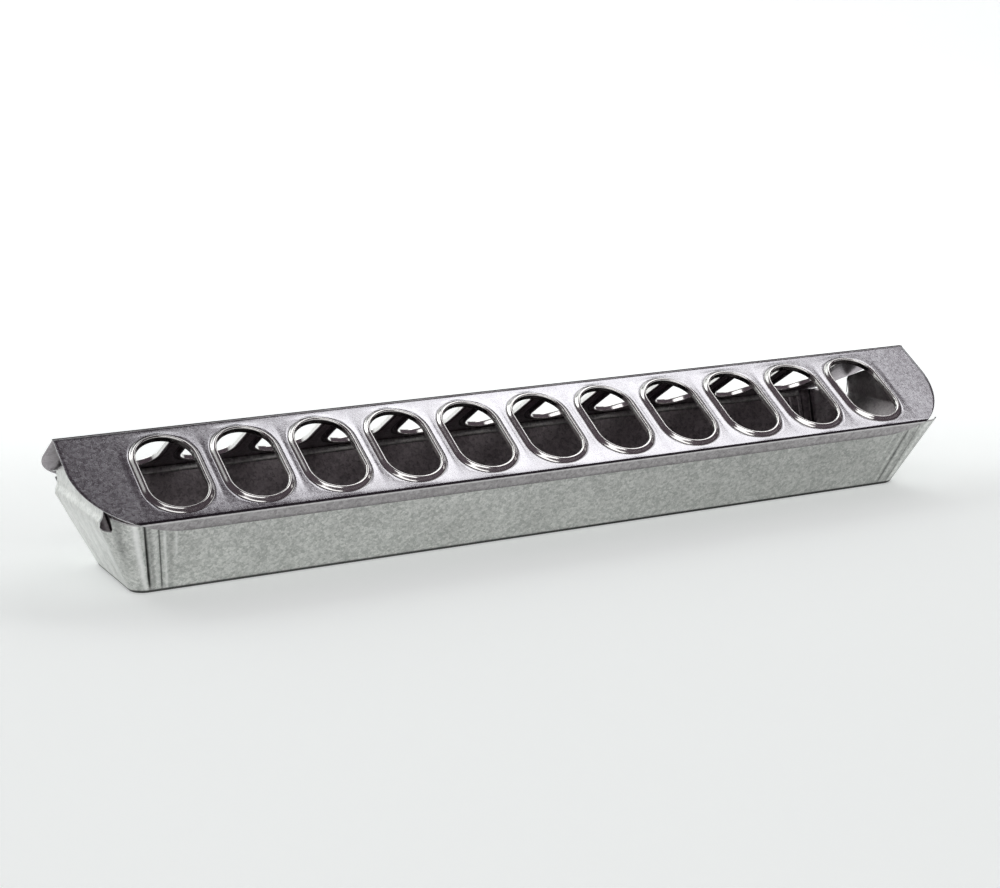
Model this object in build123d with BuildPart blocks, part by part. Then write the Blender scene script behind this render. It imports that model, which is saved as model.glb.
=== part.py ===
from build123d import *
import math
import os

# Trough feeder: a flared sheet-steel tray with a gable lid that slides onto it lengthwise.
#
# Millimetres, +Z up, +X along the trough, -Y the front. The origin is the centre of the floor's
# underside. Each of the two sheets is cut at its fold lines into the nodes written below.

# Driving dimensions, mm and degrees
sheet = 0.5                    # thickness of both sheets

lid_length = 610.0
lid_half_width = 66.2          # out to the eave bends
ridge_height = 87.7
eave_height = 48.4
rail_depth = 8.7               # strip turned down along each eave
blank_corner = 60.0            # radius of the rounded corners of the lid's flat blank

hole_count = 11                # feed holes in each slope
hole_pitch = 49.2
hole_width = 36.8              # across the crest of the rolled rim
hole_length = 60.6             # down the slope, over the same crest
hole_centre = 39.1             # from the ridge, down the slope
bead_height = 2.3
bead_foot = 3.0                # from the crest out to the flat sheet
bead_roll = 1.0                # outside radius of the rolled crest
lip_depth = 1.2                # how far the rim turns down below the slope's face

wall_flare = 29.0              # long walls, from vertical
end_flare = 24.6               # end walls, from vertical
rail_gap = 0.65                # between a long wall and the rail that hooks over it
rim_height = 48.0
hem_depth = 4.0                # long rims are folded inward once
floor_half_length = 273.0
floor_corner = 9.0
rim_corner = 18.0

tab_root = 44.3                # half width of the gable tab at the bottom of its notches
tab_shoulder = 45.2            # half width at its shoulders
tab_pitch = 21.0               # slope of its two top edges
tab_clearance = 1.2            # cut edges to the lid's underside, so the rims' lips pass over them
notch_depth = 6.0
notch_floor_end = 54.5         # half width out to the end of the notch's bottom
notch_top_end = 61.0           # half width out to the top of the notch's outer edge
notch_fillet = 4.0

pleat_width = 18.7             # folded corner pleat, at the rim
pleat_foot = 4.0               # height up the wall where the pleat comes to a point
pleat_rise = 0.4               # how far it stands out of the wall
pleat_top_gap = 0.6            # below the rim

# Worked out from them
slope_rise = ridge_height - eave_height
slope_angle = math.degrees(math.atan2(slope_rise, lid_half_width))
slope_length = math.hypot(slope_rise, lid_half_width)
straight_end = slope_length + rail_depth - blank_corner
flare_tan = math.tan(math.radians(wall_flare))
flare_cos = math.cos(math.radians(wall_flare))
floor_half_width = lid_half_width - eave_height * flare_tan - (sheet + rail_gap) / flare_cos
rim_half_width = floor_half_width + rim_height * flare_tan
rim_half_length = floor_half_length + rim_height * math.tan(math.radians(end_flare))
floor_straight = floor_half_length - floor_corner
rim_straight = rim_half_length - rim_corner
wall_length = rim_height / flare_cos

# Planes: each is drawn on the outer face, its local X along the trough and its Y uphill
front_slope = Plane(
    origin=(0, 0, ridge_height),
    x_dir=(1, 0, 0),
    z_dir=(0, -math.sin(math.radians(slope_angle)), math.cos(math.radians(slope_angle))),
)
front_rail = Plane(
    origin=(0, -lid_half_width, eave_height),
    x_dir=(1, 0, 0),
    z_dir=(0, -flare_cos, -math.sin(math.radians(wall_flare))),
)
front_wall = Plane(
    origin=(0, -floor_half_width, 0),
    x_dir=(1, 0, 0),
    z_dir=(0, -flare_cos, -math.sin(math.radians(wall_flare))),
)


def blank_half_length(distance):
    """Half length of the lid's flat blank at a distance from the ridge."""
    down_arc = max(distance - straight_end, 0)
    return lid_length / 2 - blank_corner + math.sqrt(blank_corner**2 - down_arc**2)


def corner_point(distance, side):
    """Point on the rounded end of the blank, with the ridge at local Y 0."""
    return (side * blank_half_length(distance), -distance)


def tray_outline(height, inset):
    """Rounded rectangle of the tray at a height, drawn in by the sheet's thickness or not."""
    up = height / rim_height
    half_length = floor_half_length + up * (rim_half_length - floor_half_length) - inset
    half_width = floor_half_width + up * (rim_half_width - floor_half_width) - inset
    radius = floor_corner + up * (rim_corner - floor_corner) - inset
    RectangleRounded(2 * half_length, 2 * half_width, radius)


def tray_section(height, inset):
    """The tray's outline as a face at its height."""
    with BuildSketch(Plane.XY.offset(height)) as section:
        tray_outline(height, inset)
    return section.sketch


def tray_shell(top):
    """The tray's whole wall, from the top of its floor to a height."""
    inset = sheet / flare_cos
    loft(sections=[tray_section(sheet, 0), tray_section(top, 0)])
    loft(sections=[tray_section(sheet, inset), tray_section(top, inset)], mode=Mode.SUBTRACT)


def height_below_lid(y):
    """Height of a cut edge that keeps its clearance under the lid."""
    underside = ridge_height - y * math.tan(math.radians(slope_angle)) - sheet / math.cos(math.radians(slope_angle))
    return underside - tab_clearance


def corner_plane(side):
    """Plane through the two lines where the flat long walls run into the end's round corners."""
    lean = math.atan2(rim_straight - floor_straight, rim_height)
    return Plane(
        origin=(side * floor_straight, 0, 0),
        x_dir=(0, 1, 0),
        z_dir=(side * math.cos(lean), 0, -math.sin(lean)),
    )


# Lid ------------------------------------------------------------------------------------------

# Rolled rim of one feed hole, about the hole's centre in the plane of the slope
half_hole = hole_width / 2
half_straight = (hole_length - hole_width) / 2
crest_centre = bead_height - bead_roll
foot_reach = math.hypot(bead_foot, crest_centre)
flank_angle = math.degrees(math.acos(bead_roll / foot_reach) - math.atan2(crest_centre, bead_foot))

with BuildPart() as feed_hole_rim:
    with BuildLine() as crest_line:
        Line((half_hole, 0), (half_hole, half_straight))
        CenterArc((0, half_straight), half_hole, 0, 180)
        Line((-half_hole, half_straight), (-half_hole, -half_straight))
        CenterArc((0, -half_straight), half_hole, 180, 180)
        Line((half_hole, -half_straight), (half_hole, 0))
    with BuildSketch(Plane(origin=(half_hole, 0, 0), x_dir=(1, 0, 0), z_dir=(0, -1, 0))):
        with BuildLine():
            outer_roll = CenterArc((0, crest_centre), bead_roll, flank_angle, 180 - flank_angle)
            inner_roll = CenterArc((0, crest_centre), bead_roll - sheet, flank_angle, 180 - flank_angle)
            Line(outer_roll @ 0, (bead_foot, 0))
            Line((bead_foot, 0), (bead_foot, -sheet))
            Line((bead_foot, -sheet), inner_roll @ 0)
            Line(outer_roll @ 1, (-bead_roll, -lip_depth))
            Line((-bead_roll, -lip_depth), (sheet - bead_roll, -lip_depth))
            Line((sheet - bead_roll, -lip_depth), inner_roll @ 1)
        make_face()
    sweep(path=crest_line.line)

hole_row = [((i - (hole_count - 1) / 2) * hole_pitch, -hole_centre) for i in range(hole_count)]

with BuildPart(front_slope) as lid_front_slope:
    with BuildSketch(front_slope):
        with BuildLine():
            halfway = (straight_end + slope_length) / 2
            Line(corner_point(0, -1), corner_point(0, 1))
            for side in (-1, 1):
                Line(corner_point(0, side), corner_point(straight_end, side))
                ThreePointArc(
                    corner_point(straight_end, side),
                    corner_point(halfway, side),
                    corner_point(slope_length, side),
                )
            Line(corner_point(slope_length, -1), corner_point(slope_length, 1))
        make_face()
        with Locations(*hole_row):
            SlotOverall(
                hole_length + 2 * bead_foot,
                hole_width + 2 * bead_foot,
                rotation=90,
                mode=Mode.SUBTRACT,
            )
    extrude(amount=-sheet)
    split(bisect_by=Plane.XZ, keep=Keep.TOP)
    with Locations(*hole_row):
        add(feed_hole_rim.part)

with BuildPart() as lid_front_rail:
    with BuildSketch(front_rail):
        with BuildLine():
            halfway = slope_length + rail_depth / 2
            top_left = (-blank_half_length(slope_length + sheet), -sheet)
            top_right = (blank_half_length(slope_length + sheet), -sheet)
            low_left = (-blank_half_length(slope_length + rail_depth), -rail_depth)
            low_right = (blank_half_length(slope_length + rail_depth), -rail_depth)
            mid_left = (-blank_half_length(halfway), -rail_depth / 2)
            mid_right = (blank_half_length(halfway), -rail_depth / 2)
            Line(top_left, top_right)
            ThreePointArc(top_right, mid_right, low_right)
            Line(low_right, low_left)
            ThreePointArc(low_left, mid_left, top_left)
        make_face()
    extrude(amount=-sheet)

with BuildPart() as lid_rear_slope:
    mirror(lid_front_slope.part, about=Plane.XZ)

with BuildPart() as lid_rear_rail:
    mirror(lid_front_rail.part, about=Plane.XZ)

# Tray -----------------------------------------------------------------------------------------

with BuildPart() as tray_floor:
    loft(sections=[tray_section(0, 0), tray_section(sheet, 0)])

with BuildPart() as tray_front_wall:
    tray_shell(rim_height)
    split(bisect_by=Plane.XZ, keep=Keep.TOP)
    split(bisect_by=corner_plane(1), keep=Keep.BOTTOM)
    split(bisect_by=corner_plane(-1), keep=Keep.BOTTOM)
    with BuildSketch(Plane.YZ.offset(-floor_straight)):
        with BuildLine():
            inner_face = floor_half_width - sheet / flare_cos
            hem_bottom = rim_height - hem_depth * flare_cos
            Polyline(
                (-inner_face - rim_height * flare_tan, rim_height),
                (-inner_face - hem_bottom * flare_tan, hem_bottom),
                (sheet / flare_cos - inner_face - hem_bottom * flare_tan, hem_bottom),
                (sheet / flare_cos - inner_face - rim_height * flare_tan, rim_height),
                close=True,
            )
        make_face()
    extrude(amount=2 * floor_straight)

with BuildPart() as tray_rear_wall:
    mirror(tray_front_wall.part, about=Plane.XZ)

shoulder_height = height_below_lid(tab_shoulder)
corner_height = height_below_lid(notch_top_end)
apex_height = shoulder_height + tab_shoulder * math.tan(math.radians(tab_pitch))
notch_floor = rim_height - notch_depth

with BuildPart() as tray_right_end:
    tray_shell(corner_height)
    split(bisect_by=corner_plane(1), keep=Keep.TOP)
    with BuildSketch(Plane.YZ):
        with Locations((0, rim_height)):
            Rectangle(2 * notch_floor_end, rim_height, align=(Align.CENTER, Align.MIN))
    extrude(amount=2 * rim_half_length, mode=Mode.SUBTRACT)
    with BuildSketch(Plane.YZ.offset(rim_half_length - sheet)):
        Polygon(
            (-tab_root, notch_floor),
            (-tab_shoulder, shoulder_height),
            (0, apex_height),
            (tab_shoulder, shoulder_height),
            (tab_root, notch_floor),
            align=None,
        )
        Rectangle(4 * tab_root, rim_height - sheet, align=(Align.CENTER, Align.MIN), mode=Mode.SUBTRACT)
    extrude(amount=sheet)
    with BuildSketch(Plane.YZ.offset(floor_straight)) as notches:
        with BuildLine():
            Polyline(
                (tab_root, notch_floor),
                (notch_floor_end, notch_floor),
                (notch_top_end, corner_height),
                (rim_half_width, rim_height),
                (2 * rim_half_width, rim_height),
                (2 * rim_half_width, shoulder_height),
                (tab_shoulder, shoulder_height),
                close=True,
            )
        make_face()
        fillet(notches.vertices().group_by(Axis.Y)[0], notch_fillet)
        mirror(about=Plane.YZ)
    extrude(amount=2 * rim_half_length, mode=Mode.SUBTRACT)

with BuildPart() as tray_left_end:
    mirror(tray_right_end.part, about=Plane.YZ)

with BuildPart() as corner_pleat:
    with BuildSketch(front_wall):
        pleat_top = wall_length - pleat_top_gap
        Polygon(
            (-floor_straight, pleat_foot),
            (-rim_straight, pleat_top),
            (pleat_width - rim_straight, pleat_top),
            align=None,
        )
    extrude(amount=pleat_rise)

with BuildPart() as tray_corner_pleats:
    add(corner_pleat.part)
    mirror(about=Plane.YZ)
    mirror(about=Plane.XZ)

nodes = {
    "tray_floor": tray_floor,
    "tray_front_wall": tray_front_wall,
    "tray_rear_wall": tray_rear_wall,
    "tray_left_end": tray_left_end,
    "tray_right_end": tray_right_end,
    "tray_corner_pleats": tray_corner_pleats,
    "lid_front_slope": lid_front_slope,
    "lid_rear_slope": lid_rear_slope,
    "lid_front_rail": lid_front_rail,
    "lid_rear_rail": lid_rear_rail,
}

os.makedirs("parts", exist_ok=True)
for name, node in nodes.items():
    node.part.label = name
    export_step(node.part, f"parts/{name}.step")
    print(name, round(node.part.volume, 1))
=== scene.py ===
import math

import bmesh
import bpy
from mathutils import Matrix, Vector


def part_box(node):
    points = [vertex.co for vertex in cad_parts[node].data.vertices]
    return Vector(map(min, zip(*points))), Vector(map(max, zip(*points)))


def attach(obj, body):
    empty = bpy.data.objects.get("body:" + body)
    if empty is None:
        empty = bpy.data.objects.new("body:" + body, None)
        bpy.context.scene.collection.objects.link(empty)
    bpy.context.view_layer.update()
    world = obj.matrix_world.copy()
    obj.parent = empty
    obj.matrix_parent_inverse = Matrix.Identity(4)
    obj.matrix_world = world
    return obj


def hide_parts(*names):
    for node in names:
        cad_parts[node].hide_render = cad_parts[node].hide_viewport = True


# Trough feeder: the looks of its two folded galvanised sheets, the tray and the sliding gable lid.
# Metres, in the CAD frame: +X along the trough, -Y the front, +Z up, the floor's underside at Z 0.

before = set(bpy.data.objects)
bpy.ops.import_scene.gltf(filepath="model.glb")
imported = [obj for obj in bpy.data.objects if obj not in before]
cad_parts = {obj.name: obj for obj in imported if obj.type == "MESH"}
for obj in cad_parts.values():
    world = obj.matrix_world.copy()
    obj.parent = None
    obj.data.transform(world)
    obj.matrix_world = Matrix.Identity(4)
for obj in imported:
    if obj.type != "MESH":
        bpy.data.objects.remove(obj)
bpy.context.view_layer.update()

MM = 0.001

# Both sheets
SHEET = 0.5 * MM
MERGE_DISTANCE = 0.02 * MM
CREVICE_LEFT = 0.05              # share of its colour that the darkest painted shade in a crevice keeps
# near-white colour of the painted highlights
PAINTED_HIGHLIGHT_ZINC = (0.98, 0.98, 0.97)
BUMP_DISTANCE = 0.2 * MM

# Lid, worked out from its CAD slope and rail
slope_low, slope_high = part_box("lid_front_slope")
LID_HALF_LENGTH = slope_high.x
LID_HALF_WIDTH = -slope_low.y
RIDGE_HEIGHT = slope_high.z
EAVE_RISE = 48.4 * MM             # height of the eave bends' corner
SLOPE_ANGLE = math.atan2(RIDGE_HEIGHT - EAVE_RISE, LID_HALF_WIDTH)
SLOPE_LENGTH = LID_HALF_WIDTH / math.cos(SLOPE_ANGLE)
RAIL_DEPTH = 8.7 * MM
BLANK_CORNER = 60 * MM           # radius of the rounded corners of the lid's flat blank
STRAIGHT_END = SLOPE_LENGTH + RAIL_DEPTH - BLANK_CORNER
RIDGE_BEND = 5.0 * MM            # outside radius of the ridge
EAVE_BEND = 0.9 * MM             # outside radius of the eaves

# Feed holes
HOLE_COUNT = 11
HOLE_PITCH = 49.2 * MM
HOLE_CENTRE = 39.1 * MM          # from the ridge, down the slope
CREST_RADIUS = 18.4 * MM         # half width of the oblong crest line
CREST_STRAIGHT = 11.9 * MM       # half length of its straight sides
BEAD_HEIGHT = 2.3 * MM
BEAD_ROLL = 1.0 * MM
BEAD_FOOT = 3.0 * MM
LIP_DEPTH = 1.6 * MM

# Tray, worked out from its CAD walls
wall_low, wall_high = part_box("tray_front_wall")
end_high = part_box("tray_right_end")[1]
WALL_FLARE = math.radians(29)
END_FLARE = math.radians(24.6)
RIM_HEIGHT = wall_high.z
RIM_HALF_WIDTH = -wall_low.y
RIM_HALF_LENGTH = end_high.x
FLOOR_HALF_WIDTH = RIM_HALF_WIDTH - RIM_HEIGHT * math.tan(WALL_FLARE)
FLOOR_HALF_LENGTH = RIM_HALF_LENGTH - RIM_HEIGHT * math.tan(END_FLARE)
FLOOR_CORNER = 9 * MM
RIM_CORNER = 18 * MM
FLOOR_BEND = 2.2 * MM
HEM_DEPTH = 4 * MM
TAB_APEX = end_high.z
TAB_ROOT = 44.3 * MM
TAB_SHOULDER = 48 * MM
TAB_PITCH = math.radians(21)
TAB_BEND_DROP = 2 * MM           # the tab starts to straighten this far below the rim
NOTCH_DEPTH = 4.9 * MM
NOTCH_FLOOR_END = 53.5 * MM
NOTCH_TOP_END = 59.5 * MM
CORNER_HEIGHT = 51.9 * MM        # the cut edge between the notch and the long rim rises to this
NOTCH_FILLET = 3.2 * MM


# Materials ------------------------------------------------------------------------------------

def new_material(name):
    material = bpy.data.materials.new(name)
    material.use_nodes = True
    tree = material.node_tree
    shader = tree.nodes["Principled BSDF"]
    return material, tree, shader


def node(tree, kind, **values):
    made = tree.nodes.new(kind)
    for key, value in values.items():
        if key in made.inputs:
            made.inputs[key].default_value = value
        else:
            setattr(made, key, value)
    return made


def ramp(tree, source, stops):
    """Colour ramp fed by a socket, with (position, colour) stops."""
    made = tree.nodes.new("ShaderNodeValToRGB")
    while len(made.color_ramp.elements) < len(stops):
        made.color_ramp.elements.new(0.5)
    for element, (position, colour) in zip(made.color_ramp.elements, stops):
        element.position = position
        element.color = (*colour, 1)
    tree.links.new(source, made.inputs["Fac"])
    return made.outputs["Color"]


def mix(tree, factor, first, second, blend="MIX"):
    """Colour mix of two sockets; factor is a socket or a number."""
    made = tree.nodes.new("ShaderNodeMix")
    made.data_type = "RGBA"
    made.blend_type = blend
    if isinstance(factor, (int, float)):
        made.inputs["Factor"].default_value = factor
    else:
        tree.links.new(factor, made.inputs["Factor"])
    for socket, value in (("A", first), ("B", second)):
        target = [s for s in made.inputs if s.name == socket and s.type == "RGBA"][0]
        if isinstance(value, tuple):
            target.default_value = (*value, 1)
        else:
            tree.links.new(value, target)
    return [s for s in made.outputs if s.type == "RGBA"][0]


def math_node(tree, operation, *values):
    """Output of a math node fed by sockets or plain numbers."""
    made = node(tree, "ShaderNodeMath", operation=operation)
    for socket, value in zip(made.inputs, values):
        if isinstance(value, (int, float)):
            socket.default_value = value
        else:
            tree.links.new(value, socket)
    return made.outputs[0]


def remap(tree, source, low, high, start=0.0, end=1.0):
    """The socket's values from start to end, spread over low to high."""
    made = node(tree, "ShaderNodeMapRange")
    made.inputs["From Min"].default_value = start
    made.inputs["From Max"].default_value = end
    made.inputs["To Min"].default_value = low
    made.inputs["To Max"].default_value = high
    tree.links.new(source, made.inputs["Value"])
    return made.outputs["Result"]


def noise(tree, place, scale, detail, roughness=0.5):
    made = node(tree, "ShaderNodeTexNoise", Scale=scale, Detail=detail, Roughness=roughness)
    tree.links.new(place, made.inputs["Vector"])
    return made


def crystal_tone(tree, place, scale, channel):
    """A random tone for each crystal of a size, from one channel of a cell pattern."""
    cells = node(tree, "ShaderNodeTexVoronoi", Scale=scale)
    tree.links.new(place, cells.inputs["Vector"])
    channels = node(tree, "ShaderNodeSeparateColor")
    tree.links.new(cells.outputs["Color"], channels.inputs["Color"])
    return channels.outputs[channel]


def bump(tree, height, strength, under=None):
    """Bump from a height socket, laid over another bump's normal if there is one."""
    made = node(tree, "ShaderNodeBump", Strength=strength, Distance=BUMP_DISTANCE)
    tree.links.new(height, made.inputs["Height"])
    if under is not None:
        tree.links.new(under, made.inputs["Normal"])
    return made.outputs["Normal"]


def paint_shade_and_highlight(tree, colour):
    """Paints shade into crevices and highlights onto bends, rims and wrinkles, by the sheet's shade
    attribute, from -1 to 1.
    """
    shade = node(tree, "ShaderNodeAttribute", attribute_name="shade").outputs["Fac"]
    dark = remap(tree, shade, CREVICE_LEFT, 1.0, start=-1.0, end=0.0)
    colour = mix(tree, 1.0, colour, dark, "MULTIPLY")
    bright = math_node(tree, "MAXIMUM", shade, 0.0)
    return mix(tree, bright, colour, PAINTED_HIGHLIGHT_ZINC)


def galvanised(name, light, dark, rough_low, rough_high):
    """Zinc-coated steel: fine irregular crystals, each with its own tone and slight tilt, and soft stains."""
    material, tree, shader = new_material(name)
    links = tree.links
    place = node(tree, "ShaderNodeTexCoord").outputs["Object"]
    warp = noise(tree, place, 420.0, 2.0)
    shift = node(tree, "ShaderNodeVectorMath", operation="SCALE", Scale=1.6 * MM)
    links.new(warp.outputs["Color"], shift.inputs[0])
    moved = node(tree, "ShaderNodeVectorMath", operation="ADD")
    links.new(place, moved.inputs[0])
    links.new(shift.outputs[0], moved.inputs[1])
    coarse = crystal_tone(tree, moved.outputs[0], 520.0, "Red")
    fine = crystal_tone(tree, moved.outputs[0], 1050.0, "Green")
    tone = math_node(tree, "MULTIPLY_ADD", coarse, 0.55, math_node(tree, "MULTIPLY", fine, 0.45))
    stains = noise(tree, place, 38.0, 6.0, 0.62).outputs["Fac"]
    cloud = ramp(tree, stains, [(0.3, (0.84, 0.84, 0.84)), (0.7, (1.0, 1.0, 1.0))])
    zinc = ramp(tree, tone, [(0.15, dark), (0.85, light)])
    colour = mix(tree, 1.0, zinc, cloud, "MULTIPLY")
    links.new(paint_shade_and_highlight(tree, colour), shader.inputs["Base Color"])
    links.new(remap(tree, tone, rough_low, rough_high), shader.inputs["Roughness"])
    shader.inputs["Metallic"].default_value = 1.0
    grain = noise(tree, place, 900.0, 3.0).outputs["Fac"]
    links.new(bump(tree, tone, 0.10, bump(tree, grain, 0.08)), shader.inputs["Normal"])
    return material


def burnished(name, colour, roughness):
    """Smooth zinc with faint drawing marks: worked zinc of the rolled rims, and also the near-black painted
    shade of the fold lines and the bright painted highlight of the cut edges.
    """
    material, tree, shader = new_material(name)
    links = tree.links
    place = node(tree, "ShaderNodeTexCoord").outputs["Object"]
    marks = noise(tree, place, 260.0, 5.0, 0.7).outputs["Fac"]
    darker = tuple(0.78 * c for c in colour)
    zinc = ramp(tree, marks, [(0.3, darker), (0.62, colour)])
    links.new(paint_shade_and_highlight(tree, zinc), shader.inputs["Base Color"])
    links.new(remap(tree, marks, 0.7 * roughness, 1.5 * roughness), shader.inputs["Roughness"])
    shader.inputs["Metallic"].default_value = 1.0
    links.new(bump(tree, marks, 0.06), shader.inputs["Normal"])
    return material


LID_METAL = galvanised("lid_galvanised", (0.735, 0.735, 0.77), (0.55, 0.54, 0.575), 0.21, 0.32)
TRAY_METAL = galvanised("tray_galvanised", (0.78, 0.785, 0.76), (0.46, 0.475, 0.455), 0.32, 0.46)
# the rail is the lid's own sheet, given a darker copy of its metal as painted shade
RAIL_SHADED_METAL = galvanised("rail_galvanised_painted_shade", (0.56, 0.54, 0.55), (0.34, 0.325, 0.33), 0.34, 0.48)
RIM_METAL = burnished("rim_burnished", (0.88, 0.87, 0.85), 0.14)
# near-black painted shade along the ridge and eave bends
FOLD_PAINTED_SHADE = burnished("fold_line_painted_shade", (0.035, 0.025, 0.035), 0.6)
# near-white painted highlight on the cut edges of both sheets
EDGE_HIGHLIGHT_METAL = burnished("cut_edge_painted_highlight", (0.97, 0.97, 0.97), 0.35)
# darker copies of the galvanised sheets for their backs: painted shade of the insides
LID_INNER_SHADED = galvanised("lid_inside_painted_shade", (0.62, 0.57, 0.61), (0.34, 0.30, 0.33), 0.34, 0.46)
TRAY_INNER_SHADED = galvanised("tray_inside_painted_shade", (0.38, 0.345, 0.355), (0.19, 0.17, 0.178), 0.36, 0.50)


# Mesh helpers ---------------------------------------------------------------------------------

class Sheet:
    """Collects the vertices and faces of one side of a folded sheet; shared edges are merged."""

    def __init__(self):
        self.points = []
        self.shades = []
        self.faces = []
        self.looks = []

    def grid(self, rows, look=0, close=False, shades=None):
        """Quads between rows of points, all rows the same length; shades, the painted shade and highlight,
        run from -1 dark to 1 bright.
        """
        start = len(self.points)
        width = len(rows[0])
        for r, row in enumerate(rows):
            self.points.extend(row)
            self.shades.extend(shades[r] if shades else [0.0] * width)
        for r in range(len(rows) - 1):
            for c in range(width if close else width - 1):
                d = (c + 1) % width
                low = start + r * width
                high = low + width
                self.faces.append((low + c, low + d, high + d, high + c))
                self.looks.append(look)

    def piece(self, name, materials, inner, thickness):
        """Makes the object, merges the seams and gives the sheet its thickness behind the drawn side.

        The material slots are those of the drawn side, then of the back, darker as painted shade, then of the
        cut edges, painted as highlights.
        """
        mesh = bpy.data.meshes.new(name)
        mesh.from_pydata([tuple(p) for p in self.points], [], self.faces)
        mesh.attributes.new("shade", "FLOAT", "POINT").data.foreach_set("value", self.shades)
        for material in materials + [inner] * len(materials) + [EDGE_HIGHLIGHT_METAL] * len(materials):
            mesh.materials.append(material)
        for polygon, look in zip(mesh.polygons, self.looks):
            polygon.material_index = look
            polygon.use_smooth = True
        work = bmesh.new()
        work.from_mesh(mesh)
        bmesh.ops.remove_doubles(work, verts=work.verts, dist=MERGE_DISTANCE)
        bmesh.ops.recalc_face_normals(work, faces=work.faces)
        middle = sum((v.co for v in work.verts), Vector()) / len(work.verts)
        outward = sum(f.normal.dot(f.calc_center_median() - middle) * f.calc_area() for f in work.faces)
        if outward < 0:
            bmesh.ops.reverse_faces(work, faces=work.faces)
        work.to_mesh(mesh)
        work.free()
        made = bpy.data.objects.new(name, mesh)
        bpy.context.scene.collection.objects.link(made)
        solid = made.modifiers.new("thickness", "SOLIDIFY")
        solid.thickness = thickness
        solid.offset = -1.0
        solid.use_rim = True
        solid.material_offset = len(materials)
        solid.material_offset_rim = 2 * len(materials)
        return made


def ripple(x, y, seed, size):
    """Smooth repeatable unevenness between about -1 and 1, with waves of roughly the given size."""
    total = 0.0
    for i in range(4):
        angle = seed + 2.4 * i
        wave = size * (0.7 + 0.35 * i)
        along = x * math.cos(angle) + y * math.sin(angle)
        total += math.sin(along * 2 * math.pi / wave + 1.7 * seed * (i + 1))
    return total / 4


def smooth(t):
    """Eased step from 0 to 1."""
    t = min(max(t, 0.0), 1.0)
    return t * t * (3 - 2 * t)


def crease(position, at, width):
    """Narrow bump of height 1 centred on at."""
    return math.exp(-((position - at) / width) ** 2)


# Lid ------------------------------------------------------------------------------------------

def blank_half_length(distance):
    """Half length of the lid's flat blank at a distance from the ridge."""
    down_arc = min(max(distance - STRAIGHT_END, 0.0), BLANK_CORNER)
    return LID_HALF_LENGTH - BLANK_CORNER + math.sqrt(BLANK_CORNER**2 - down_arc**2)


def fold(distance):
    """Outer face of the folded lid in the YZ plane, at a distance down from the ridge on the front.

    Returns the point (y, z) and the outward normal (y, z).
    """
    slope = Vector((-math.cos(SLOPE_ANGLE), -math.sin(SLOPE_ANGLE)))
    slope_normal = Vector((-math.sin(SLOPE_ANGLE), math.cos(SLOPE_ANGLE)))
    rail = Vector((math.sin(WALL_FLARE), -math.cos(WALL_FLARE)))
    rail_normal = Vector((-math.cos(WALL_FLARE), -math.sin(WALL_FLARE)))
    apex = Vector((0, RIDGE_HEIGHT))
    eave = Vector((-LID_HALF_WIDTH, EAVE_RISE))
    ridge_set_back = RIDGE_BEND * math.tan(SLOPE_ANGLE / 2)
    if distance < ridge_set_back:
        angle = SLOPE_ANGLE * distance / ridge_set_back
        centre = apex + slope * ridge_set_back - slope_normal * RIDGE_BEND
        normal = Vector((-math.sin(angle), math.cos(angle)))
        return centre + normal * RIDGE_BEND, normal
    turn = math.acos(max(-1, min(1, slope_normal.dot(rail_normal))))
    eave_set_back = EAVE_BEND * math.tan(turn / 2)
    from_bend = distance - (SLOPE_LENGTH - eave_set_back)
    if from_bend < 0:
        return apex + slope * distance, slope_normal
    if from_bend < 2 * eave_set_back:
        angle = SLOPE_ANGLE + turn * from_bend / (2 * eave_set_back)
        centre = eave - slope * eave_set_back - slope_normal * EAVE_BEND
        normal = Vector((-math.sin(angle), math.cos(angle)))
        return centre + normal * EAVE_BEND, normal
    return eave + rail * (distance - SLOPE_LENGTH), rail_normal


def lid_point(x, distance, lift, side):
    """Point of the lid's outer face; side is -1 on the front slope and 1 on the rear one."""
    (y, z), (ny, nz) = fold(distance)
    return Vector((x, -side * (y + ny * lift), z + nz * lift))


def lid_wave(x, distance, side):
    """Unevenness of the flat sheet; it dies out toward the bends."""
    from_ridge = smooth((distance - 4 * MM) / (12 * MM))
    from_eave = smooth((SLOPE_LENGTH - 2 * MM - distance) / (8 * MM))
    return LID_WAVE * (from_ridge * from_eave) * ripple(x, distance, 1.3 + side, LID_WAVE_SIZE)


def bead_profile():
    """Rolled rim from the lip up over the crest and down to the sheet: (offset from the crest, height)."""
    crest_centre = BEAD_HEIGHT - BEAD_ROLL
    lip_steps, roll_steps, flank_steps = 4, 6, 9
    profile = []
    for i in range(lip_steps):
        profile.append((-BEAD_ROLL, -LIP_DEPTH + (LIP_DEPTH + crest_centre) * i / lip_steps))
    for i in range(roll_steps + 1):
        angle = math.pi - math.pi / 2 * i / roll_steps
        profile.append((BEAD_ROLL * math.cos(angle), crest_centre + BEAD_ROLL * math.sin(angle)))
    for i in range(1, flank_steps):
        share = i / flank_steps
        profile.append((BEAD_FOOT * share, BEAD_HEIGHT * (0.5 + 0.5 * math.cos(math.pi * share))))
    return profile


PLATE, RIM, FOLD, RAIL = range(4)                # order of the lid's materials; FOLD is near-black painted shade and RAIL a darker painted-shade copy of the metal

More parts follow.
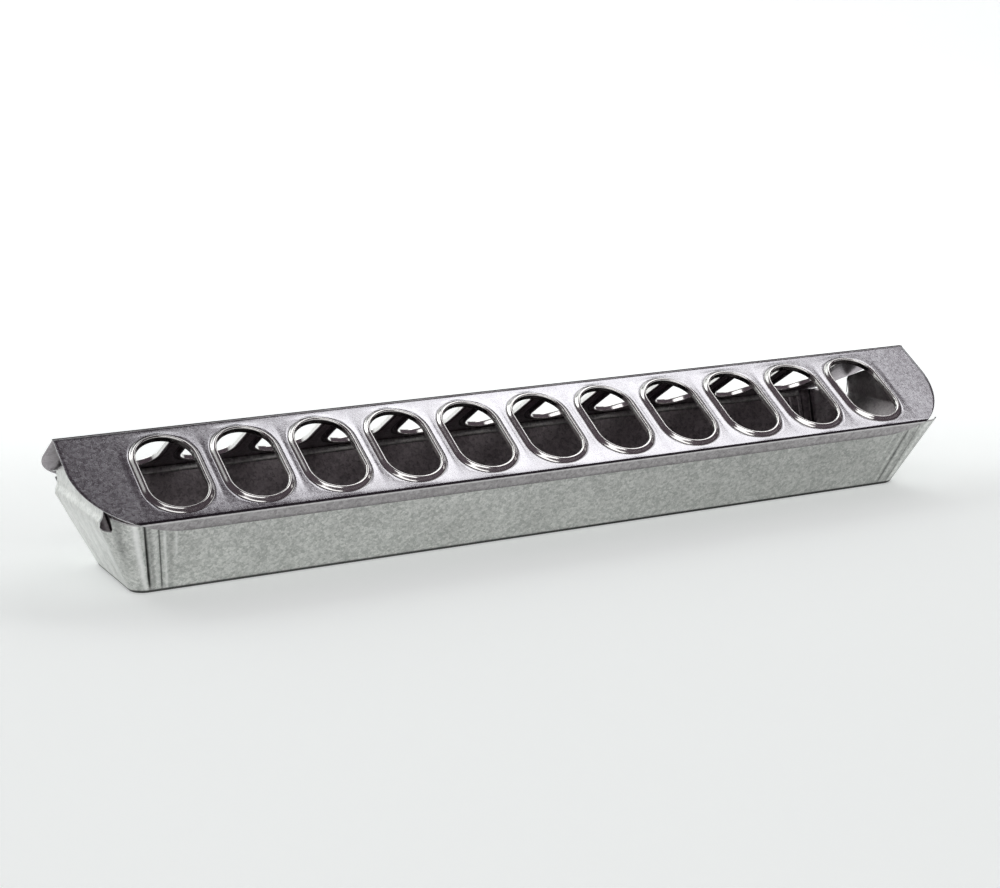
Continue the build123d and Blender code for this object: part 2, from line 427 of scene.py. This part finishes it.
# Each hole has a cell of the slope around it
CELLS_HALF_LENGTH = HOLE_COUNT * HOLE_PITCH / 2
CELL_TOP = 5.0 * MM
CELL_BOTTOM = SLOPE_LENGTH - 2.5 * MM
CELL_SIDE_STEPS = 40
CELL_CROSS_STEPS = 32
RING_SHARES = (0.0, 0.10, 0.22, 0.36, 0.52, 0.72, 1.0)
DISH_HEIGHT = 0.30 * MM          # the sheet is drawn up a little around each rim
DISH_REACH = 4.0 * MM
FLANK_SHADE = -0.70              # painted shade on the lowest part of the rim's flank
FOOT_SHADE = -0.75               # painted shadow line at the rim's foot
PLATE_SHADE = 0.16               # painted highlight: the flat sheet is brightest next to the rims


def cell_boundary():
    """Points round one hole's share of the slope, about the hole's centre: (x, down the slope)."""
    half = HOLE_PITCH / 2
    top = CELL_TOP - HOLE_CENTRE
    bottom = CELL_BOTTOM - HOLE_CENTRE
    corners = [(half, top), (half, bottom), (-half, bottom), (-half, top)]
    steps = [CELL_SIDE_STEPS, CELL_CROSS_STEPS, CELL_SIDE_STEPS, CELL_CROSS_STEPS]
    loop = []
    for i in range(4):
        (x0, y0), (x1, y1) = corners[i], corners[(i + 1) % 4]
        for k in range(steps[i]):
            t = k / steps[i]
            loop.append((x0 + (x1 - x0) * t, y0 + (y1 - y0) * t))
    return loop


def ring_shades(ring, centre, tone):
    """Shades round one ring: a dark ring is even, and a bright one also takes the painted shade of the lid's
    left end.
    """
    if tone < 0:
        return [tone] * len(ring)
    return [tone + lid_painted_shade(centre + flat.x) for flat, _ in ring]


def add_hole_cell(sheet, centre, side):
    """The slope around one feed hole: rolled rim, dished foot and flat sheet out to the cell's boundary."""
    spokes = []
    for x, y in cell_boundary():
        anchor = Vector((0, min(max(y, -CREST_STRAIGHT), CREST_STRAIGHT)))
        away = Vector((x, y)) - anchor
        spokes.append((anchor, away.normalized(), away.length - CREST_RADIUS))
    rings = []
    tones = []
    for offset, height in bead_profile():
        rings.append([(a + d * (CREST_RADIUS + offset), height) for a, d, _ in spokes])
        tones.append(FLANK_SHADE * smooth((offset - 0.68 * BEAD_FOOT) / (0.3 * BEAD_FOOT)))
    rim_rings = len(rings)
    for share in RING_SHARES:
        ring = []
        for anchor, direction, room in spokes:
            out = BEAD_FOOT + (room - BEAD_FOOT) * share
            fade = 0.0 if share == 1.0 else math.exp(-(out - BEAD_FOOT) / DISH_REACH)
            height = DISH_HEIGHT * fade * smooth(share / 0.1)
            ring.append((anchor + direction * (CREST_RADIUS + out), height))
        rings.append(ring)
        tones.append(FOOT_SHADE if share == 0.0 else PLATE_SHADE * (1 - share))
    rows = []
    for ring in rings:
        row = []
        for flat, height in ring:
            x = centre + flat.x
            distance = HOLE_CENTRE + flat.y
            row.append(lid_point(x, distance, height + lid_wave(x, distance, side), side))
        rows.append(row)
    shades = [ring_shades(ring, centre, tone) for ring, tone in zip(rings, tones)]
    if side > 0:
        rows = [row[::-1] for row in rows]
        shades = [shade[::-1] for shade in shades]
    sheet.grid(rows[:rim_rings + 1][::-1], RIM, close=True, shades=shades[:rim_rings + 1][::-1])
    sheet.grid(rows[rim_rings:][::-1], PLATE, close=True, shades=shades[rim_rings:][::-1])


def cell_columns():
    """X of the columns along the top and bottom of the row of cells."""
    count = HOLE_COUNT * CELL_CROSS_STEPS
    return [-CELLS_HALF_LENGTH + 2 * CELLS_HALF_LENGTH * i / count for i in range(count + 1)]


END_COLUMNS = 16
LID_WAVE = 0.10 * MM             # height of the flat sheet's unevenness
LID_WAVE_SIZE = 60 * MM
EAVE_MARK = 1.0 * MM             # width of the pressed line along the top of each eave bend, which is also painted as a near-black shade line
EAVE_MARK_DEPTH = 0.22 * MM
EAVE_SPREAD = EAVE_BEND * 1.03   # half width of the rows that take up the eave bend
LEFT_END_PAINTED_SHADE = -0.30               # painted shade darkening the lid's left end
LEFT_FROM = -270 * MM
LEFT_FADE = 140 * MM


def groove(distance):
    """Depth of the line pressed into the sheet just above the eave bend."""
    return EAVE_MARK_DEPTH * crease(distance, SLOPE_LENGTH - EAVE_BEND - EAVE_MARK / 2, 0.5 * EAVE_MARK)


def lid_painted_shade(x):
    """Painted shade of the lid's flat sheet, darker toward its left end."""
    return LEFT_END_PAINTED_SHADE * (1 - smooth((x - LEFT_FROM) / LEFT_FADE))


def rail_highlight_and_shade(distance):
    """Painted highlight just under the eave bend and a painted dark shade line along the rail's cut edge."""
    below = distance - SLOPE_LENGTH
    bright = 0.55 * crease(below, 0.7 * MM, 0.5 * MM)
    dull = 0.45 * smooth((below - 0.9 * RAIL_DEPTH) / (0.06 * RAIL_DEPTH))
    return bright - dull


def lid_row(distance):
    """X positions across the whole lid at a distance from the ridge.

    Below the cells, their columns draw in with the blank's rounded corner.
    """
    half_length = blank_half_length(distance)
    cells = cell_columns()
    if distance > CELL_BOTTOM:
        shrink = half_length / blank_half_length(CELL_BOTTOM)
        cells = [x * shrink for x in cells]
    edge = cells[-1]
    outer = [edge + (half_length - edge) * (i / END_COLUMNS) for i in range(1, END_COLUMNS + 1)]
    return [-x for x in outer[::-1]] + cells + outer


def add_lid_end(sheet, side, end):
    """The flat sheet between the last cell and one end of the lid."""
    rows = []
    for i in range(CELL_SIDE_STEPS + 1):
        distance = CELL_TOP + (CELL_BOTTOM - CELL_TOP) * i / CELL_SIDE_STEPS
        reach = blank_half_length(distance)
        row = []
        for k in range(END_COLUMNS + 1):
            x = end * (CELLS_HALF_LENGTH + (reach - CELLS_HALF_LENGTH) * k / END_COLUMNS)
            row.append(lid_point(x, distance, lid_wave(x, distance, side), side))
        rows.append(row if end * side < 0 else row[::-1])
    sheet.grid(rows, shades=[[lid_painted_shade(p.x) for p in row] for row in rows])


def add_lid_band(sheet, side, distances, look):
    """A band of the sheet along the whole lid, above or below the cells."""
    rows = []
    shades = []
    for distance in distances:
        row = []
        shade = []
        for x in lid_row(distance):
            lift = lid_wave(x, distance, side) - groove(distance)
            row.append(lid_point(x, distance, lift, side))
            shade.append(rail_highlight_and_shade(distance) if look == RAIL else lid_painted_shade(x))
        rows.append(row if side > 0 else row[::-1])
        shades.append(shade if side > 0 else shade[::-1])
    sheet.grid(rows, look, shades=shades)


def lid_bands():
    """Distances from the ridge of the rows above and below the cells, with the look of each band."""
    set_back = RIDGE_BEND * math.tan(SLOPE_ANGLE / 2)
    bend_start = SLOPE_LENGTH - EAVE_SPREAD
    eave_bend = [bend_start + 2 * EAVE_SPREAD * i / 8 for i in range(9)]
    rail = [SLOPE_LENGTH + RAIL_DEPTH * share for share in (0.2, 0.3, 0.45, 0.7, 0.94, 1.0)]
    return [
        ([set_back * i / 4 for i in range(5)], FOLD),
        ([set_back, 1.5 * MM, 3 * MM, CELL_TOP], PLATE),
        ([CELL_BOTTOM, bend_start - EAVE_MARK], PLATE),
        ([bend_start - EAVE_MARK * (1 - i / 4) for i in range(5)], FOLD),
        (eave_bend[:5], FOLD),
        (eave_bend[4:], RAIL),
        (eave_bend[-1:] + rail, RAIL),
    ]


def build_lid():
    sheet = Sheet()
    for side in (-1, 1):
        for i in range(HOLE_COUNT):
            add_hole_cell(sheet, (i - (HOLE_COUNT - 1) / 2) * HOLE_PITCH, side)
        for end in (-1, 1):
            add_lid_end(sheet, side, end)
        for distances, look in lid_bands():
            add_lid_band(sheet, side, distances, look)
    return sheet.piece("lid_sheet", [LID_METAL, RIM_METAL, FOLD_PAINTED_SHADE, RAIL_SHADED_METAL], LID_INNER_SHADED, SHEET)


lid = build_lid()
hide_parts("lid_front_slope", "lid_rear_slope", "lid_front_rail", "lid_rear_rail")
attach(lid, "lid")


# Tray -----------------------------------------------------------------------------------------

WALL_STEPS = 45                  # each of these counts is for one quarter of the tray
PLEAT_STEPS = 110
CORNER_STEPS = 48
NOTCH_STEPS = 6
TAB_STEPS = 30
TAB_ROWS = 18
BEND_ROWS = 6
HEM_STEPS = 120
PLEAT_TOP = 30 * MM              # how far the creased sheet reaches from the corner, at the rim
PLEAT_FOOT = 18 * MM             # and at the floor
PLEAT_RELIEF = 0.75 * MM         # how far the folded layer stands out
STEP_WIDTH = 0.5 * MM
CREVICE_WIDTH = 0.6 * MM
WRINKLE_WIDTH = 0.9 * MM
TAB_TUCK = 3.5 * MM              # the left end's tab leans in under the lid
CORNER_TUCK = 4.5 * MM           # and so do the tops of its corners
TAB_FOOT_MARGIN = 3 * MM         # at the floor, from the end's middle panel to the round corner
TAB_STRAIGHTEN = 4 * MM          # height over which the tab turns upright
TAB_STEP_OUT = 1.0 * MM
FLOOR_SHADE = -0.93              # painted contact shadow on the floor's bend, up to the floor line
# painted shade of the floor face, whose back is the tray's inside floor
UNDERSIDE_SHADE = -0.9
RIGHT_PAINTED_LIGHT_SHARE = 0.5                # the right half's painted shade and highlights are this share of the left's
RIGHT_PAINTED_SHADE = 0.20             # and painted shade darkens its walls below their rims


def pleat_lines(up):
    """Distances from the round corner of the pleat's two folded edges and of the two wrinkles beyond."""
    at_rim = (3.8, 11.9, 15.2, 22.8)
    at_floor = (0.7, 7.8, 10.8, 15.5)
    return [(foot + (top - foot) * up) * MM for top, foot in zip(at_rim, at_floor)]


def outer_wrinkle(up):
    """Strength of the outer wrinkle, which is there only in the upper half of the wall."""
    return 1 - smooth((0.58 - up) / 0.2)


def pleat_reach(up):
    """How far the creased sheet reaches from the round corner, at a share of the height."""
    return PLEAT_FOOT + (PLEAT_TOP - PLEAT_FOOT) * up


def pleat_lift(distance, up):
    """Relief of the folded corner pleat, at a distance from the round corner and a share of the height."""
    first, second, third, fourth = pleat_lines(up)
    rise = smooth((distance - first) / STEP_WIDTH)
    fall = smooth((distance - second) / STEP_WIDTH)
    crevices = 0.7 * MM * crease(distance, first, CREVICE_WIDTH)
    crevices += 0.6 * MM * crease(distance, second, CREVICE_WIDTH)
    wrinkles = 0.5 * MM * crease(distance, third, WRINKLE_WIDTH)
    wrinkles += 0.4 * MM * outer_wrinkle(up) * crease(distance, fourth, WRINKLE_WIDTH)
    hollow = 0.35 * MM * crease(distance, (third + fourth) / 2, 2.2 * MM)
    under_rail = 1 - 0.45 * smooth((up - 0.8) / 0.1)
    return (PLEAT_RELIEF * (rise - fall) - crevices + wrinkles - hollow) * under_rail


def pleat_shade(distance, up):
    """Painted dark shade in the crevices along the folded edges and painted highlights on the wrinkles,
    fading out at the floor.
    """
    first, second, third, fourth = pleat_lines(up)
    dark = 0.95 * crease(distance, first, 0.8 * MM)
    dark += 0.85 * crease(distance, second, 0.65 * MM)
    dark += 0.30 * crease(distance, first + 2.4 * MM, 1.6 * MM)
    dark += 0.22 * crease(distance, fourth - 3 * MM, 2 * MM)
    bright = 0.55 * crease(distance, third, 0.8 * MM)
    bright += 0.40 * outer_wrinkle(up) * crease(distance, fourth, 0.8 * MM)
    bright += 0.25 * crease(distance, second - 2.6 * MM, 1.4 * MM)
    return (bright - dark) * smooth(up / 0.12)


def corner_shade(t, up):
    """Painted highlight where the long wall turns into the corner, and a darker patch further round."""
    turn_highlight = 0.75 * crease(t, 0.09, 0.09) * smooth(up / 0.08)
    hollow = 0.42 * crease(t, 0.50, 0.13) * smooth((up - 0.35) / 0.4)
    return turn_highlight - hollow


def end_shade(y, up):
    """Painted light on the end: brighter overall, with soft leaning upright bands of painted highlight and
    shade.
    """
    lean = y - 6 * MM * up
    return 0.26 + 0.30 * ripple(lean, 0.02 * up, 2.3, 13 * MM)


def tray_columns():
    """One quarter of the tray's perimeter, from the middle of the long wall to the middle of the end.

    Each column is (zone, position in the zone from 0 to 1).
    """
    zones = [("wall", WALL_STEPS), ("pleat", PLEAT_STEPS), ("corner", CORNER_STEPS), ("end", NOTCH_STEPS)]
    columns = [(zone, i / steps) for zone, steps in zones for i in range(steps)]
    return columns + [("tab", i / TAB_STEPS) for i in range(TAB_STEPS + 1)]


def outline_at(height):
    """Half length, half width and corner radius of the tray at a height."""
    up = height / RIM_HEIGHT
    half_length = FLOOR_HALF_LENGTH + up * (RIM_HALF_LENGTH - FLOOR_HALF_LENGTH)
    half_width = FLOOR_HALF_WIDTH + up * (RIM_HALF_WIDTH - FLOOR_HALF_WIDTH)
    radius = FLOOR_CORNER + up * (RIM_CORNER - FLOOR_CORNER)
    return half_length, half_width, radius


def wall_point(zone, t, height):
    """Point on the tray's outer face in the +X, +Y quarter, and its level outward direction."""
    half_length, half_width, radius = outline_at(height)
    up = height / RIM_HEIGHT
    straight = half_length - radius
    reach = pleat_reach(up)
    if zone == "wall":
        return Vector(((straight - reach) * t, half_width, height)), Vector((0, 1, 0))
    if zone == "pleat":
        fade = smooth((up - 0.02) / 0.2) * smooth((1 - t) / 0.03) * smooth(t / 0.1)
        lift = fade * pleat_lift(reach * (1 - t), up)
        return Vector((straight - reach * (1 - t), half_width + lift, height)), Vector((0, 1, 0))
    centre = Vector((straight, half_width - radius, height))
    if zone == "corner":
        angle = math.pi / 2 * (1 - t)
        out = Vector((math.cos(angle), math.sin(angle), 0))
        return centre + out * radius, out
    root = tab_half_width(height)
    if zone == "end":
        y = centre.y + (root - centre.y) * t
        return Vector((half_length, y, height)), Vector((1, 0, 0))
    return Vector((half_length, root * (1 - t), height)), Vector((1, 0, 0))


def tab_half_width(height):
    """Half width of the end's middle panel: it follows the tab upward from the notch's floor."""
    notch_floor = RIM_HEIGHT - NOTCH_DEPTH
    if height < notch_floor:
        foot = FLOOR_HALF_WIDTH - FLOOR_CORNER - TAB_FOOT_MARGIN
        return foot + (TAB_ROOT - foot) * height / notch_floor
    shoulder = TAB_APEX - TAB_SHOULDER * math.tan(TAB_PITCH)
    return TAB_ROOT + (TAB_SHOULDER - TAB_ROOT) * (height - notch_floor) / (shoulder - notch_floor)


def cut_height(y):
    """Height of the end's cut edge outside its tab, at a distance from the middle of the end."""
    floor = RIM_HEIGHT - NOTCH_DEPTH
    beside_tab = TAB_ROOT + NOTCH_FILLET
    if y < beside_tab:
        inside = min((beside_tab - y) / NOTCH_FILLET, 1)
        return floor + NOTCH_FILLET * (1 - math.sqrt(max(1 - inside**2, 0)))
    if y < NOTCH_TOP_END:
        climb = smooth((y - NOTCH_FLOOR_END) / (NOTCH_TOP_END - NOTCH_FLOOR_END))
        return floor + (CORNER_HEIGHT - floor) * climb
    down = (y - NOTCH_TOP_END) / (RIM_HALF_WIDTH - NOTCH_TOP_END)
    return CORNER_HEIGHT + (RIM_HEIGHT - CORNER_HEIGHT) * min(down, 1)


def column_top(zone, t):
    """Height at which a column meets the cut edge, found by halving."""
    if zone in ("wall", "pleat"):
        return RIM_HEIGHT
    if zone == "tab":
        return RIM_HEIGHT - TAB_BEND_DROP
    low, high = RIM_HEIGHT / 2, CORNER_HEIGHT
    for _ in range(24):
        middle = (low + high) / 2
        if cut_height(wall_point(zone, t, middle)[0].y) > middle:
            low = middle
        else:
            high = middle
    return low


FLOOR_LINE = 1.9 * MM            # painted contact shadow along the floor's bend up to here
WALL_ROWS = [0.0, 0.01, 0.03, 0.07, 0.12, 0.18, 0.25, 0.33, 0.42, 0.51, 0.6, 0.69, 0.77, 0.84, 0.9, 0.95, 1.0]


# painted shade and highlights of one point of a column: contact shadow, pleat, corner and end
def column_shade(zone, t, point):
    up = point.z / RIM_HEIGHT
    if point.z < FLOOR_LINE:
        return FLOOR_SHADE
    if zone == "pleat":
        return pleat_shade(pleat_reach(up) * (1 - t), up)
    if zone == "corner":
        return corner_shade(t, up)
    if zone == "wall":
        return 0.0
    return end_shade(point.y, up)


def flare_towards(out):
    """Flare of the wall that faces a level direction; the round corners take the mean of the two."""
    if out.y > 0.99:
        return WALL_FLARE
    if out.x > 0.99:
        return END_FLARE
    return 0.5 * (WALL_FLARE + END_FLARE)


def quarter_rows():
    """Rows of points of the quarter wall, from the floor's bend to the cut edge, and their shades."""
    rows = [[] for _ in range(BEND_ROWS + len(WALL_ROWS))]
    shades = [[] for _ in rows]
    for zone, t in tray_columns():
        foot, out = wall_point(zone, t, 0.0)
        turn = math.pi / 2 - flare_towards(out)
        set_back = FLOOR_BEND * math.tan(turn / 2)
        for i in range(BEND_ROWS):
            angle = turn * i / BEND_ROWS
            level = -set_back + FLOOR_BEND * math.sin(angle)
            rows[i].append(foot + out * level + Vector((0, 0, FLOOR_BEND * (1 - math.cos(angle)))))
            shades[i].append(FLOOR_SHADE)
        start = FLOOR_BEND * (1 - math.cos(turn))
        top = column_top(zone, t)
        for k, share in enumerate(WALL_ROWS):
            point = wall_point(zone, t, start + (top - start) * share)[0]
            rows[BEND_ROWS + k].append(point)
            shades[BEND_ROWS + k].append(column_shade(zone, t, point))
    return rows, shades


def tab_rows(top_row):
    """The gable tab above the right end's middle panel, quarter width, rising from the wall's last row."""
    rows = [top_row]
    for i in range(1, TAB_ROWS + 1):
        share = i / TAB_ROWS
        row = []
        for k, base in enumerate(top_row):
            t = k / (len(top_row) - 1)
            peak = TAB_APEX - TAB_SHOULDER * (1 - t) * math.tan(TAB_PITCH)
            z = base.z + (peak - base.z) * share
            straighten = smooth((z - base.z) / TAB_STRAIGHTEN)
            lean = (z - base.z) * math.tan(END_FLARE) * (1 - straighten)
            x = min(base.x + lean + TAB_STEP_OUT * straighten, RIM_HALF_LENGTH - 0.1 * MM)
            row.append(Vector((x, tab_half_width(z) * (1 - t), z)))
        rows.append(row)
    return rows


def dress(point):
    """The right end's corners are level with the long rims."""
    over = point.z - RIM_HEIGHT
    if abs(point.y) < TAB_SHOULDER or over < 0:
        return point
    inward_y = math.copysign(over * math.tan(WALL_FLARE), point.y)
    return Vector((point.x - over * math.tan(END_FLARE), point.y - inward_y, RIM_HEIGHT))


def tuck(point):
    """The left end as it was bent by hand: its tab and the tops of its corners lean in under the lid."""
    half_length, half_width, radius = outline_at(point.z)
    x, y = abs(point.x), abs(point.y)
    over_x, over_y = x - (half_length - radius), y - (half_width - radius)
    if y < TAB_SHOULDER and point.z > RIM_HEIGHT - NOTCH_DEPTH and y <= tab_half_width(point.z) + 0.1 * MM:
        inward = TAB_TUCK * smooth((point.z - RIM_HEIGHT + 5 * MM) / (9 * MM))
        return Vector((point.x + inward, point.y, point.z))
    if min(over_x, over_y) <= 0:
        return point
    across = math.sin(2 * math.atan2(over_y, over_x))
    inward = CORNER_TUCK * across * smooth((point.z - 0.62 * RIM_HEIGHT) / (0.4 * RIM_HEIGHT)) / math.sqrt(2)
    return Vector((point.x + inward, point.y - math.copysign(inward, point.y), point.z))


def quarter_painted_light(tone, point, side):
    """A quarter's painted shade and highlights, weakened on the right, with painted shade darkening toward
    the right below the long rims.
    """
    if side > 0 and tone >= UNDERSIDE_SHADE:
        tone *= RIGHT_PAINTED_LIGHT_SHARE
    if abs(point.y) > point.z + 20 * MM:
        tone -= RIGHT_PAINTED_SHADE * smooth((point.x + 120 * MM) / (400 * MM))
    return tone


def add_floor(sheet, foot_row):
    """The floor is one flat face inside the foot of the wall."""
    loop = []
    for side_x, side_y in ((1, 1), (1, -1), (-1, -1), (-1, 1)):
        points = [p * Vector((side_x, side_y, 1)) for p in foot_row]
        if side_x * side_y < 0:
            points = points[::-1]
        loop += points[:-1]
    start = len(sheet.points)
    sheet.points.extend(loop)
    sheet.shades.extend([UNDERSIDE_SHADE] * len(loop))
    sheet.faces.append(tuple(range(start, start + len(loop))))
    sheet.looks.append(0)


def build_tray():
    sheet = Sheet()
    wall, wall_shades = quarter_rows()
    tab = tab_rows(wall[-1][-(TAB_STEPS + 1):])
    tab_shades = [[end_shade(p.y, p.z / RIM_HEIGHT) for p in row] for row in tab]
    for side_x in (-1, 1):
        form = tuck if side_x < 0 else dress
        for side_y in (-1, 1):
            turn = Vector((side_x, side_y, 1))
            for part, part_shades in ((wall, wall_shades), (tab, tab_shades)):
                rows = [[form(p * turn) for p in row] for row in part]
                shades = []
                for row, tones in zip(rows, part_shades):
                    shades.append([quarter_painted_light(tone, p, side_x) for tone, p in zip(tones, row)])
                if side_x * side_y > 0:
                    rows = [row[::-1] for row in rows]
                    shades = [shade[::-1] for shade in shades]
                sheet.grid(rows, shades=shades)
    add_floor(sheet, wall[0])
    return sheet.piece("tray_sheet", [TRAY_METAL], TRAY_INNER_SHADED, SHEET)


tray = build_tray()
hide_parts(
    "tray_floor", "tray_front_wall", "tray_rear_wall",
    "tray_left_end", "tray_right_end", "tray_corner_pleats",
)
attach(tray, "tray")


def build_hem(name, side):
    """The folded-in safety edge along one long rim."""
    reach = RIM_HALF_LENGTH - RIM_CORNER - 14 * MM
    down = Vector((0, -math.sin(WALL_FLARE), -math.cos(WALL_FLARE)))
    inward = Vector((0, -math.cos(WALL_FLARE), math.sin(WALL_FLARE)))
    rim = Vector((0, RIM_HALF_WIDTH, RIM_HEIGHT))
    roll = SHEET + 0.1 * MM
    path = [rim + down * 0.4 * MM]
    for i in range(9):
        angle = math.pi * i / 8
        path.append(rim + inward * (roll - roll * math.cos(angle)) - down * roll * math.sin(angle) * 0.4)
    for share in (0.3, 0.6, 1.0):
        path.append(rim + inward * 2 * roll + down * HEM_DEPTH * share)
    rows = []
    for point in path:
        folded_in = point.z < RIM_HEIGHT - 1 * MM
        row = []
        for i in range(HEM_STEPS + 1):
            x = -reach + 2 * reach * i / HEM_STEPS
            wave = 0.12 * MM * ripple(x, point.z, 4.1 + side, 70 * MM)
            pushed = point + inward * max(wave, 0) * folded_in
            row.append(Vector((x, side * pushed.y, pushed.z)))
        rows.append(row if side < 0 else row[::-1])
    sheet = Sheet()
    sheet.grid(rows)
    return sheet.piece(name, [TRAY_METAL], TRAY_INNER_SHADED, SHEET * 0.9)


for hem_name, hem_side in (("tray_front_hem", -1), ("tray_rear_hem", 1)):
    hem = build_hem(hem_name, hem_side)
    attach(hem, "tray")


# Studio ---------------------------------------------------------------------------------------

CAMERA_AZIMUTH = math.radians(27.47)     # the camera looks this far round from +Y towards +X
SWEEP_FRONT = -3.0
SWEEP_TURN = 1.2                 # Y at which the floor starts to curve up
SWEEP_RADIUS = 1.0
SWEEP_TOP = 3.2
SWEEP_HALF_WIDTH = 5.0
SWEEP_STEPS = 12
SWEEP_COLUMNS = 20
GLOW_START = -0.10               # depth along the camera's view from which the sweep brightens
GLOW_END = 0.90
GLOW_NEAR = 0.365                # its emission in front
GLOW_RISE = 0.34                 # and how much is added behind


def sweep_material():
    """Pale paper that glows a little, more so toward the back."""
    material, tree, shader = new_material("studio_sweep")
    place = node(tree, "ShaderNodeTexCoord").outputs["Object"]
    depth = node(tree, "ShaderNodeVectorMath", operation="DOT_PRODUCT")
    depth.inputs[1].default_value = (math.sin(CAMERA_AZIMUTH), math.cos(CAMERA_AZIMUTH), 0)
    tree.links.new(place, depth.inputs[0])
    glow = node(tree, "ShaderNodeFloatCurve")
    curve = glow.mapping.curves[0]
    curve.points[0].location = (0.0, 0.0)
    curve.points[1].location = (1.0, 1.0)
    for share, brightness in ((0.10, 0.04), (0.40, 0.45), (0.75, 0.90)):
        curve.points.new(share, brightness)
    glow.mapping.update()
    reach = remap(tree, depth.outputs["Value"], 0.0, 1.0, start=GLOW_START, end=GLOW_END)
    tree.links.new(reach, glow.inputs["Value"])
    power = math_node(tree, "MULTIPLY_ADD", glow.outputs[0], GLOW_RISE, GLOW_NEAR)
    shader.inputs["Base Color"].default_value = (0.80, 0.825, 0.815, 1)
    shader.inputs["Roughness"].default_value = 0.9
    shader.inputs["Emission Color"].default_value = (0.97, 1.0, 0.985, 1)
    tree.links.new(power, shader.inputs["Emission Strength"])
    return material


def build_stage():
    """Pale sweep: a level floor that curves up into a bright backdrop behind the feeder."""
    profile = [(SWEEP_FRONT, 0.0), (SWEEP_TURN, 0.0)]
    for i in range(1, SWEEP_STEPS + 1):
        angle = math.pi / 2 * i / SWEEP_STEPS
        profile.append((SWEEP_TURN + SWEEP_RADIUS * math.sin(angle), SWEEP_RADIUS * (1 - math.cos(angle))))
    profile.append((SWEEP_TURN + SWEEP_RADIUS, SWEEP_TOP))
    across = [SWEEP_HALF_WIDTH * (1 - 2 * i / SWEEP_COLUMNS) for i in range(SWEEP_COLUMNS + 1)]
    outline = Sheet()
    outline.grid([[Vector((x, y, z)) for x in across] for y, z in profile])
    mesh = bpy.data.meshes.new("studio_sweep")
    mesh.from_pydata([tuple(p) for p in outline.points], [], outline.faces)
    for polygon in mesh.polygons:
        polygon.use_smooth = True
    mesh.materials.append(sweep_material())
    sweep = bpy.data.objects.new("studio_sweep", mesh)
    bpy.context.scene.collection.objects.link(sweep)
    return sweep


build_stage()


def area_light(name, place, aim, size, power):
    data = bpy.data.lights.new(name, "AREA")
    data.shape = "RECTANGLE"
    data.size, data.size_y = size
    data.energy = power
    lamp = bpy.data.objects.new(name, data)
    bpy.context.scene.collection.objects.link(lamp)
    lamp.location = place
    lamp.rotation_euler = (Vector(aim) - Vector(place)).to_track_quat("-Z", "Y").to_euler()


area_light("softbox_right", (0.93, 0.43, 1.70), (0, 0, 0.05), (1.9, 0.74), 7.8)
area_light("key_back", (-0.95, 1.80, 1.30), (0, 0, 0), (1.6, 1.2), 8)
area_light("fill_front", (-0.80, -1.85, 1.45), (0, 0, 0), (2.2, 1.5), 16)

world = bpy.data.worlds.new("studio")
world.use_nodes = True
background = world.node_tree.nodes["Background"]
background.inputs["Color"].default_value = (1.0, 0.79, 0.94, 1)
background.inputs["Strength"].default_value = 0.085
bpy.context.scene.world = world


# Camera ---------------------------------------------------------------------------------------

CAMERA_ELEVATION = math.radians(12.87)
CAMERA_DISTANCE = 1.3029
CAMERA_ROLL = math.radians(-0.50)
CAMERA_TARGET = Vector((-0.0158, 0.0, 0.0523))
CAMERA_LENS = 73.16              # mm

view = Vector((
    math.cos(CAMERA_ELEVATION) * math.sin(CAMERA_AZIMUTH),
    math.cos(CAMERA_ELEVATION) * math.cos(CAMERA_AZIMUTH),
    -math.sin(CAMERA_ELEVATION),
))
camera_data = bpy.data.cameras.new("camera")
camera_data.lens = CAMERA_LENS
camera = bpy.data.objects.new("camera", camera_data)
bpy.context.scene.collection.objects.link(camera)
tilt = view.to_track_quat("-Z", "Y").to_matrix() @ Matrix.Rotation(CAMERA_ROLL, 3, "Z")
camera.matrix_world = Matrix.Translation(CAMERA_TARGET - view * CAMERA_DISTANCE) @ tilt.to_4x4()
bpy.context.scene.camera = camera
bpy.context.scene.view_settings.view_transform = "Standard"
